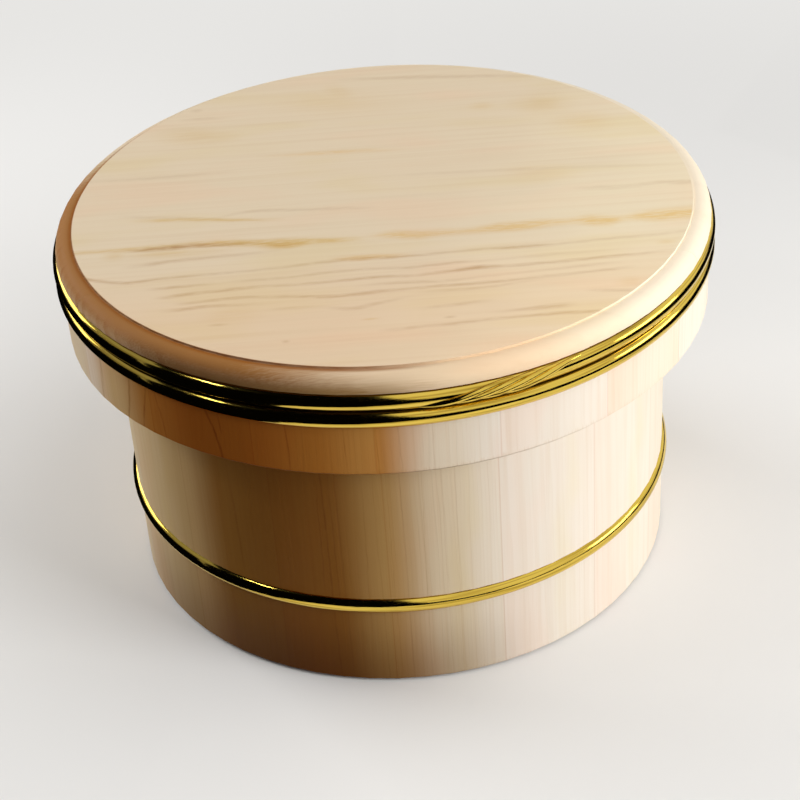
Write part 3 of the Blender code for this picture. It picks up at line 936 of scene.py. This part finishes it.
# A face lies at a joint where it looks this squarely along the row, and is this close to its end
JOINT_FACING = 0.9999
JOINT_SLACK = 20 * MERGE


def joint_faces(solid, name, direction):
    """Adds a copy of the faces at one end of a piece, and returns them."""
    own = bmesh.new()
    own.from_mesh(NODES[name].data)
    bmesh.ops.remove_doubles(own, verts=own.verts, dist=MERGE)
    own.normal_update()
    end = max(vertex.co.dot(direction) for vertex in own.verts)
    away = [face for face in own.faces if face.normal.dot(direction) < JOINT_FACING]
    bmesh.ops.delete(own, geom=away, context="FACES")
    inner = [face for face in own.faces
             if end - face.calc_center_median().dot(direction) > JOINT_SLACK]
    bmesh.ops.delete(own, geom=inner, context="FACES")
    copies = {vertex: solid.verts.new(vertex.co) for vertex in own.verts if vertex.link_faces}
    faces = [solid.faces.new([copies[vertex] for vertex in face.verts]) for face in own.faces]
    own.free()
    return faces


def fill_joints(name, pieces, direction_of, move, body):
    """One piece that fills the joints after each of a row of boards, in those boards' own wood."""
    solid = bmesh.new()
    for index, piece in enumerate(pieces):
        before = set(solid.faces)
        faces = joint_faces(solid, piece, direction_of(piece))
        drawn = bmesh.ops.extrude_face_region(solid, geom=faces)["geom"]
        move(solid, piece, [part for part in drawn if isinstance(part, bmesh.types.BMVert)])
        for face in set(solid.faces) - before:
            face.material_index = index
    bmesh.ops.recalc_face_normals(solid, faces=solid.faces)
    mesh = new_mesh(name, solid)
    for piece in pieces:
        mesh.materials.append(NODES[piece].data.materials[0])
    add_piece(name, mesh, body)


def stave_glue(name, staves, body):
    pitch = 2 * math.pi / len(staves)

    def direction_of(stave):
        end = middle_angle(stave) + half_sweep(stave)
        return Vector((-math.sin(end), math.cos(end), 0.0))

    def move(solid, stave, corners_drawn):
        turn = Matrix.Rotation(pitch - 2 * half_sweep(stave), 3, "Z")
        bmesh.ops.rotate(solid, verts=corners_drawn, matrix=turn)

    fill_joints(name, staves, direction_of, move, body)


def plank_glue(name, planks, body):
    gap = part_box(planks[1])[0].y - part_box(planks[0])[1].y

    def move(solid, plank, corners_drawn):
        bmesh.ops.translate(solid, verts=corners_drawn, vec=(0.0, gap, 0.0))

    fill_joints(name, planks[:-1], lambda plank: Vector((0.0, 1.0, 0.0)), move, body)


def add_piece(name, data, body):
    piece = new_object(name, data)
    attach(piece, body)
    return piece


# Hoops

WIRE_AROUND = 28
WIRE_LENGTHWISE = 540

# The hidden hoop's bed has six flat sides, and its round wire is this share of its size to lie inside
BEDDED_SHARE = {"tub_hoop_upper": 0.95}

# The solder where the lower tub hoop's ends meet: its direction, how far it reaches to each side,
# the turns round the wire where it starts and is full, its grain in mm, and how high it stands, in
# depths of the scratches
SOLDER_MIDDLE = math.radians(-66)
SOLDER_HALF = math.radians(10)
SOLDER_UNDER = (0.1, -0.5)
SOLDER_GRAIN = (1.1, 1.1, 0.7)
SOLDER_HEIGHT = 5.0

# Where the wire is darkened, as turns round it from straight out: at the top and underneath, partly
# as tarnish and partly as painted shade and painted dark reflection
TARNISH_AND_SHADE_TOP = (math.radians(74), math.radians(94))
TARNISH_AND_SHADE_UNDER = (math.radians(-46), math.radians(-66))

# The size of the drawn lines and the fine scratches: along X and Y in mm, and round the wire
DRAWN_SIZE = (45.0, 45.0, 1 / 4.6)
SCRATCH_SIZE = (9.0, 9.0, 1 / 15)
SCRATCH_DEPTH = 0.0002

# The lap strands: the turns round the wire where one starts and ends, and their places round the lid
STRAND_STEPS = 30
STRAND_FOOT = math.radians(-39.28)
STRAND_HEAD = math.radians(50.32)
STRAND_START = math.radians(-88)
STRAND_SPACING = math.radians(3.9)
STRAND_SWEEP = math.radians(18)

# How blunt a strand's tips are and how full its middle is, and how far, in its own radii, its
# middle line stands off the wire where it is thickest, and sinks where it thins away
STRAND_TIP = 0.03
STRAND_FULLNESS = 0.6
STRAND_LIFT = 0.3
STRAND_SINK = 1.5


def hoop_sizes(name):
    """A hoop's radius, height and wire radius, from its node."""
    low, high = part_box(name)
    wire = (high.z - low.z) / 2
    return reach(name) - wire, (high.z + low.z) / 2, wire


def brass_material(name, settings):
    radius, level = (size / MM for size in hoop_sizes(name)[:2])
    finish = new_finish(name + "_brass")
    x, y, z = finish.split(finish.point())
    outward = (x * x + y * y) ** 0.5 - radius
    around = finish.math("ARCTAN2", z - level, outward)
    place = finish.join(x, y, around)
    drawn = finish.noise(place, DRAWN_SIZE, 3.0)
    fine = finish.noise(place, SCRATCH_SIZE, 2.0)
    # Tarnish, painted shade and painted dark reflection where the wire meets the wood and underneath
    wood_side_tarnish_and_shade = finish.smooth(around, *TARNISH_AND_SHADE_TOP) + finish.smooth(around, *TARNISH_AND_SHADE_UNDER)
    tarnish_and_shade = finish.largest([wood_side_tarnish_and_shade, finish.smooth(drawn, 0.62, 0.80, 0.5)])
    colour = finish.mix(finish.smooth(drawn, 0.42, 0.66, 0.6), settings.brass, settings.shade)
    colour = finish.mix(tarnish_and_shade, colour, settings.tarnish)
    roughness = fine * 0.08 + tarnish_and_shade * 0.3 + (settings.roughness - 0.04)
    relief = {"Height": drawn * 0.7 + fine * 0.3, "Strength": 0.22, "Distance": SCRATCH_DEPTH}
    if name == "tub_hoop_lower":
        relief["Height"] = relief["Height"] + solder_relief(finish, x, y, z, around)
    bump = finish.node("ShaderNodeBump", inputs=relief)
    return finish.surface(colour, roughness, bump, Metallic=1.0)


def solder_relief(finish, x, y, z, around):
    """The rough solder on the lower side of the tub's hoop, where its ends meet."""
    toward = finish.toward(x, y, SOLDER_MIDDLE)
    near = finish.smooth(toward, math.cos(SOLDER_HALF), math.cos(SOLDER_HALF * 0.6))
    below = finish.smooth(around, *SOLDER_UNDER)
    return finish.noise(finish.join(x, y, z), SOLDER_GRAIN, 3.0) * near * below * SOLDER_HEIGHT


def make_hoop(name, settings):
    """A hoop of truly round wire in place of the faceted one."""
    radius, level, wire = hoop_sizes(name)
    ring = bmesh.new()
    upright = Matrix.Translation((radius, 0.0, level)) @ Matrix.Rotation(math.pi / 2, 4, "X")
    bmesh.ops.create_circle(
        ring, segments=WIRE_AROUND, radius=wire * BEDDED_SHARE.get(name, 1.0), matrix=upright)
    bmesh.ops.spin(
        ring, geom=ring.verts[:] + ring.edges[:], axis=(0.0, 0.0, 1.0), cent=(0.0, 0.0, 0.0),
        angle=2 * math.pi, steps=WIRE_LENGTHWISE, use_merge=True)
    bmesh.ops.remove_doubles(ring, verts=ring.verts, dist=MERGE)
    bmesh.ops.recalc_face_normals(ring, faces=ring.faces)
    mesh = new_mesh(name + "_wire", ring)
    mesh.shade_smooth()
    mesh.materials.append(brass_material(name, settings))
    piece = add_piece(mesh.name, mesh, name.split("_")[0])
    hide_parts(name)


def lap_point(angle, turn, lift):
    """A point just off the lid's upper hoop, at an angle round the lid and a turn round the wire."""
    radius, level, wire = hoop_sizes("lid_hoop_upper")
    distance = radius + (wire + lift) * math.cos(turn)
    height = level + (wire + lift) * math.sin(turn)
    return distance * math.cos(angle), distance * math.sin(angle), height


def lap_strand(index, material, settings):
    """A tapered strand of wire that climbs from the crease between the hoops to the upper one's top."""
    curve = bpy.data.curves.new(f"lid_hoop_strand_{index + 1}", "CURVE")
    curve.dimensions = "3D"
    curve.bevel_depth = settings.strand_radius
    curve.bevel_resolution = 3
    curve.use_fill_caps = True
    spline = curve.splines.new("POLY")
    spline.points.add(STRAND_STEPS)
    for step in range(STRAND_STEPS + 1):
        share = step / STRAND_STEPS
        angle = STRAND_START + STRAND_SPACING * index + STRAND_SWEEP * share
        climb = share * share * (3 - 2 * share)
        turn = STRAND_FOOT + (STRAND_HEAD - STRAND_FOOT) * climb
        swell = math.sin(math.pi * (STRAND_TIP + (1.0 - 2 * STRAND_TIP) * share))
        taper = swell ** STRAND_FULLNESS
        lift = settings.strand_radius * (STRAND_LIFT - STRAND_SINK * (1.0 - taper))
        spline.points[step].co = (*lap_point(angle, turn, lift), 1.0)
        spline.points[step].radius = taper
    curve.materials.append(material)
    add_piece(curve.name, curve, "lid")


# Stage

FLOOR_SIDES = 96
FLOOR_DROP = 0.0002
FLOOR_ROUGHNESS = 0.8

# The floor glows in full at this many times the distance that the lamps alone light
GLOW_START = 2.5


def make_floor(settings):
    disc = bmesh.new()
    bmesh.ops.create_circle(disc, cap_ends=True, segments=FLOOR_SIDES, radius=settings.floor_radius)
    floor = new_object("floor", new_mesh("floor", disc))
    floor.location.z = -FLOOR_DROP
    put_on(floor, floor_material(settings))


def floor_material(settings):
    """A pale floor that shows the tub's shadow, and glows evenly where the lamps don't reach."""
    finish = new_finish("floor")
    seen = seen_directly(finish)
    x, y = finish.split(finish.point())[:2]
    away = (x * x + y * y) ** 0.5 * MM
    colour = finish.mix(seen, settings.floor_bounce, settings.floor)
    lit = finish.node(
        "ShaderNodeBsdfPrincipled", inputs={"Base Color": colour, "Roughness": FLOOR_ROUGHNESS})
    even = finish.node("ShaderNodeEmission", inputs={"Color": rgba(settings.floor)})
    far = seen * finish.smooth(away, settings.shadow_reach, settings.shadow_reach * GLOW_START)
    mixed = finish.node("ShaderNodeMixShader", inputs={0: far, 1: lit, 2: even})
    finish.node("ShaderNodeOutputMaterial", inputs={"Surface": mixed})
    return finish.owner


def seen_directly(finish):
    """1 for what the camera sees, also in metal and through glass."""
    rays = [finish.node("ShaderNodeLightPath", output=name)
            for name in ("Is Camera Ray", "Is Glossy Ray", "Is Transmission Ray")]
    return finish.largest(rays)


# The cards that only the brass mirrors: directions in degrees, the distance where a card starts on
# the floor, and the angles above the level where its dim part starts and ends and where it ends
CARDS = (
    (-272, 0.40, 0, 0, 90), (-256, 0.34, 22, 52, 90), (-214, 0.20, 8, 54, 90), (-202, 0.18, 10, 52, 90),
    (-190, 0.16, 16, 46, 90), (-178, 0.152, 22, 40, 90), (-170, 0.152, 0, 0, 90),
    (-136, 0.152, 0, 0, 90), (-126, 0.18, 0, 0, 90), (-118, 0.30, 0, 0, 90), (-104, 0.36, 0, 0, 90),
    (-94, 0.40, 0, 0, 60), (-84, 0.50, 0, 0, 14), (-50, 0.55, 0, 0, 5), (-20, 0.55, 0, 0, 5),
    (0, 0.42, 0, 0, 6), (40, 0.42, 0, 0, 4), (60, 0.46, 0, 0, 0),
)
CARD_REACH = 2.5
CARD_LIFT = 0.001
CARD_STEPS = 6


def card_row(direction, near, low, high, top):
    """Points up the cards in one direction: along the floor, and up past the dim part to the end."""
    away = Vector((math.cos(math.radians(direction)), math.sin(math.radians(direction)), 0.0))
    up = Vector((0.0, 0.0, 1.0))
    rises = [0.0]
    for start, end in ((0.0, low), (low, high), (high, top)):
        rises += [start + (end - start) * (step + 1) / CARD_STEPS for step in range(CARD_STEPS)]
    arc = [(away * math.cos(math.radians(rise)) + up * math.sin(math.radians(rise))) * CARD_REACH
           for rise in rises]
    return [point + up * CARD_LIFT for point in [away * near] + arc]


def make_cards(settings):
    """Dim and black cards that lie round the tub and curve up, as are stood round polished metal."""
    solid = bmesh.new()
    rows = []
    for before, after in zip(CARDS, CARDS[1:]):
        rows += [card_row(*between(before, after, step / CARD_STEPS)) for step in range(CARD_STEPS)]
    rows = [[solid.verts.new(point) for point in row] for row in rows + [card_row(*CARDS[-1])]]
    for row, following in zip(rows, rows[1:]):
        for low in range(len(row) - 1):
            face = solid.faces.new((row[low], row[low + 1], following[low + 1], following[low]))
            face.material_index = 1 if CARD_STEPS < low <= 2 * CARD_STEPS else 0
    mesh = new_mesh("cards", solid)
    cards = new_object("cards", mesh)
    # The cards glow with their own colours instead of being lit, and only the brass sees them
    for name, colour in (("black_card", settings.black_card), ("dim_card", settings.dim_card)):
        finish = new_finish(name)
        glow = finish.node("ShaderNodeEmission", inputs={"Color": rgba(colour)})
        finish.node("ShaderNodeOutputMaterial", inputs={"Surface": glow})
        mesh.materials.append(finish.owner)
    for kind in ("camera", "diffuse", "transmission", "shadow", "volume_scatter"):
        setattr(cards, "visible_" + kind, False)


def make_sky(settings):
    world = bpy.data.worlds.new("studio")
    bpy.context.scene.world = world
    finish = Finish(world)
    seen = seen_directly(finish)
    colour = finish.mix(seen, (1.0, 1.0, 1.0), settings.floor)
    strength = seen * (1.0 - settings.sky) + settings.sky
    background = finish.node("ShaderNodeBackground", inputs={"Color": colour, "Strength": strength})
    finish.node("ShaderNodeOutputWorld", inputs={"Surface": background})


# Soft lamps that face the tub: direction round it and rise above the level in degrees, width and
# height in metres, share of the key lamp's power, and whether the brass mirrors it
LAMPS = (
    ("key_lamp", -33, 18, (0.6, 0.6), 1.0, False),
    ("window_lamp", -4, 16, (0.60, 0.30), 0.235, True),
    ("fill_lamp", 150, 22, (0.8, 0.5), 0.80, False),
    ("top_lamp", -20, 66, (0.8, 0.8), 0.29, False),
    ("left_lamp", 146, 20, (0.6, 0.35), 0.16, True),
    ("front_glint", -163, 47.5, (0.20, 0.09), 0.05, True),
)
LAMP_DISTANCE = 1.3

# The width of the camera's sensor, in mm
SENSOR_WIDTH = 36.0


def make_lamp(name, direction, rise, size, power, mirrored):
    lamp = bpy.data.lights.new(name, "AREA")
    lamp.shape = "RECTANGLE"
    lamp.size, lamp.size_y = size
    lamp.energy = power
    placed = new_object(name, lamp)
    placed.visible_glossy = mirrored
    direction, rise = math.radians(direction), math.radians(rise)
    away = Vector((math.cos(direction) * math.cos(rise), math.sin(direction) * math.cos(rise),
                   math.sin(rise)))
    placed.location = Vector((0.0, 0.0, LID_TOP / 2)) + away * LAMP_DISTANCE
    placed.rotation_mode = "QUATERNION"
    placed.rotation_quaternion = away.to_track_quat("Z", "Y")


def make_camera(settings):
    lens = bpy.data.cameras.new("camera")
    lens.lens = settings.lens
    lens.sensor_width = SENSOR_WIDTH
    camera = new_object("camera", lens)
    rise = settings.camera_rise
    place = Vector((0.0, -math.cos(rise), math.sin(rise))) * settings.camera_distance
    place.z += settings.shoulder_height
    turn = Matrix.Rotation(-settings.camera_turn, 4, "Z")
    look = turn @ Matrix.Rotation(math.pi / 2 - settings.camera_dip, 4, "X")
    lean = Matrix.Rotation(-settings.camera_roll, 4, "Z")
    camera.matrix_world = Matrix.Translation(place) @ look @ lean
    bpy.context.scene.camera = camera


# Operators

class RICETUB_OT_round_shading(Operator):
    """Shades the frame's solids smooth where they are round"""
    bl_idname = "ricetub.round_shading"
    bl_label = "Shade Round"

    def execute(self, context):
        for name in TUB_STAVES + LID_STAVES + BOTTOM_PLANKS + LID_PLANKS + PINS:
            shade_round(name)
        return {"FINISHED"}


class RICETUB_OT_tub_staves(Operator):
    """Finishes the staves of the tub's wall"""
    bl_idname = "ricetub.tub_staves"
    bl_label = "Tub Staves"

    def execute(self, context):
        settings = context.scene.ricetub_wood
        for name in TUB_STAVES:
            dress_stave(name, TUB_TONES_AND_SHADE, TUB_LINES, TUB_RADIUS, settings.heartwood, settings)
        return {"FINISHED"}


class RICETUB_OT_lid_staves(Operator):
    """Finishes the staves of the lid's ring"""
    bl_idname = "ricetub.lid_staves"
    bl_label = "Lid Staves"

    def execute(self, context):
        settings = context.scene.ricetub_wood
        for name in LID_STAVES:
            dress_stave(name, LID_TONES_AND_SHADE, LID_LINES, LID_RADIUS, settings.lid_heartwood, settings)
        return {"FINISHED"}


class RICETUB_OT_bottom(Operator):
    """Finishes the planks of the tub's bottom"""
    bl_idname = "ricetub.bottom"
    bl_label = "Tub Bottom"

    def execute(self, context):
        for name in BOTTOM_PLANKS:
            dress_bottom_plank(name, context.scene.ricetub_wood)
        return {"FINISHED"}


class RICETUB_OT_lid_board(Operator):
    """Finishes the planks of the lid's board"""
    bl_idname = "ricetub.lid_board"
    bl_label = "Lid Board"

    def execute(self, context):
        for name in LID_PLANKS:
            dress_lid_plank(name, context.scene.ricetub_wood)
        return {"FINISHED"}


class RICETUB_OT_pins(Operator):
    """Finishes the bamboo pins between the planks"""
    bl_idname = "ricetub.pins"
    bl_label = "Bamboo Pins"

    def execute(self, context):
        for name in PINS:
            dress_pin(name)
        return {"FINISHED"}


class RICETUB_OT_glue_lines(Operator):
    """Fills the joints between staves and between planks"""
    bl_idname = "ricetub.glue_lines"
    bl_label = "Glue Lines"

    def execute(self, context):
        stave_glue("tub_stave_glue", TUB_STAVES, "tub")
        stave_glue("lid_stave_glue", LID_STAVES, "lid")
        plank_glue("tub_bottom_glue", BOTTOM_PLANKS, "tub")
        plank_glue("lid_board_glue", LID_PLANKS, "lid")
        return {"FINISHED"}


class RICETUB_OT_hoops(Operator):
    """Makes the brass wire hoops, and the strands where the lid's hoops are lapped"""
    bl_idname = "ricetub.hoops"
    bl_label = "Brass Hoops"

    def execute(self, context):
        settings = context.scene.ricetub_brass
        for name in HOOPS:
            make_hoop(name, settings)
        for index in range(settings.strands):
            lap_strand(index, bpy.data.materials["lid_hoop_upper_brass"], settings)
        return {"FINISHED"}


class RICETUB_OT_stage(Operator):
    """Makes the floor, the light and the camera"""
    bl_idname = "ricetub.stage"
    bl_label = "Stage"

    def execute(self, context):
        settings = context.scene.ricetub_stage
        make_floor(settings)
        make_sky(settings)
        make_cards(settings)
        for name, direction, rise, size, share, mirrored in LAMPS:
            make_lamp(name, direction, rise, size, settings.key_power * share, mirrored)
        make_camera(settings)
        context.scene.view_settings.view_transform = "Standard"
        return {"FINISHED"}


OPERATORS = (
    RICETUB_OT_round_shading,
    RICETUB_OT_tub_staves,
    RICETUB_OT_lid_staves,
    RICETUB_OT_bottom,
    RICETUB_OT_lid_board,
    RICETUB_OT_pins,
    RICETUB_OT_glue_lines,
    RICETUB_OT_hoops,
    RICETUB_OT_stage,
)
SETTINGS = (
    ("ricetub_wood", WoodSettings),
    ("ricetub_brass", BrassSettings),
    ("ricetub_stage", StageSettings),
)


class RICETUB_PT_dresser(Panel):
    """Lists the steps and their settings"""
    bl_idname = "RICETUB_PT_dresser"
    bl_label = "Rice Tub"
    bl_space_type = "VIEW_3D"
    bl_region_type = "UI"
    bl_category = "Rice Tub"

    def draw(self, context):
        layout = self.layout
        for operator in OPERATORS:
            layout.operator(operator.bl_idname)
        for pointer, group in SETTINGS:
            box = layout.box()
            for name in group.__annotations__:
                box.prop(getattr(context.scene, pointer), name)


def register():
    for pointer, group in SETTINGS:
        bpy.utils.register_class(group)
        setattr(bpy.types.Scene, pointer, PointerProperty(type=group))
    for operator in OPERATORS:
        bpy.utils.register_class(operator)
    bpy.utils.register_class(RICETUB_PT_dresser)


def unregister():
    bpy.utils.unregister_class(RICETUB_PT_dresser)
    for operator in reversed(OPERATORS):
        bpy.utils.unregister_class(operator)
    for pointer, group in reversed(SETTINGS):
        delattr(bpy.types.Scene, pointer)
        bpy.utils.unregister_class(group)


def main():
    register()
    for operator in OPERATORS:
        group, name = operator.bl_idname.split(".")
        getattr(getattr(bpy.ops, group), name)()


if __name__ == "__main__":
    main()
